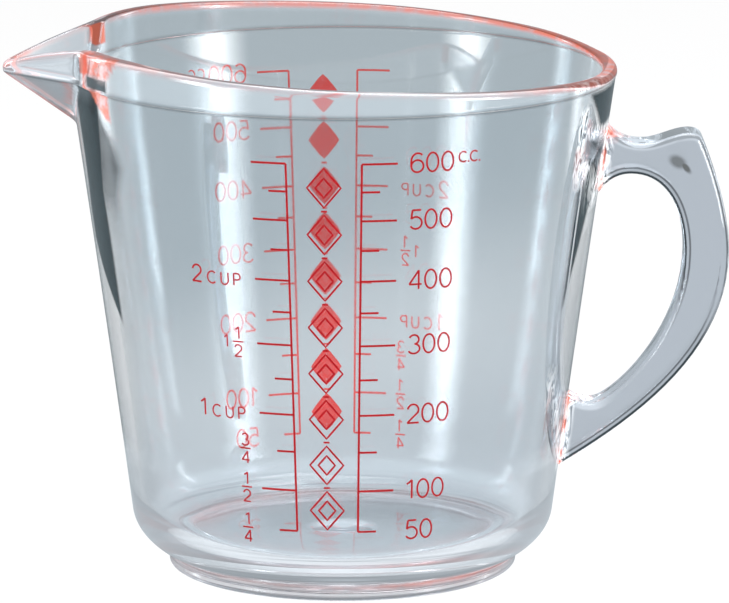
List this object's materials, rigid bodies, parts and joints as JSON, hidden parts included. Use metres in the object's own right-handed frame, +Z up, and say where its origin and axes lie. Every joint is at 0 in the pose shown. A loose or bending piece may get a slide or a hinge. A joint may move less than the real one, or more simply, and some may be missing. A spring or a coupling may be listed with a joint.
{
  "type": "measuring cup",
  "caption": "Clear plastic measuring cup with a flared round body, a pouring spout, a bonded C-shaped side handle and red printed volume scales on front and back.",
  "frame": {"origin": "middle of the whole length from spout tip to grip, in the plane of spout and handle, on the surface that the foot ring stands on", "axes": "+Z up along the cup's axis, +X from the spout to the handle, -Y towards the front print"},
  "size_m": [0.1512, 0.114, 0.1127],
  "materials": {
    "clear_body": "clear, polished, faint blue-grey tint",
    "clear_handle": "clear, polished, faint blue-grey tint",
    "red_ink": "screen-printed ink, satin"
  },
  "bodies": {
    "root": {"cup_body": "clear_body", "handle": "clear_handle", "front_volume_scale": "red_ink", "front_cup_scale": "red_ink", "back_volume_scale": "red_ink", "back_cup_scale": "red_ink"}
  },
  "joints": []
}
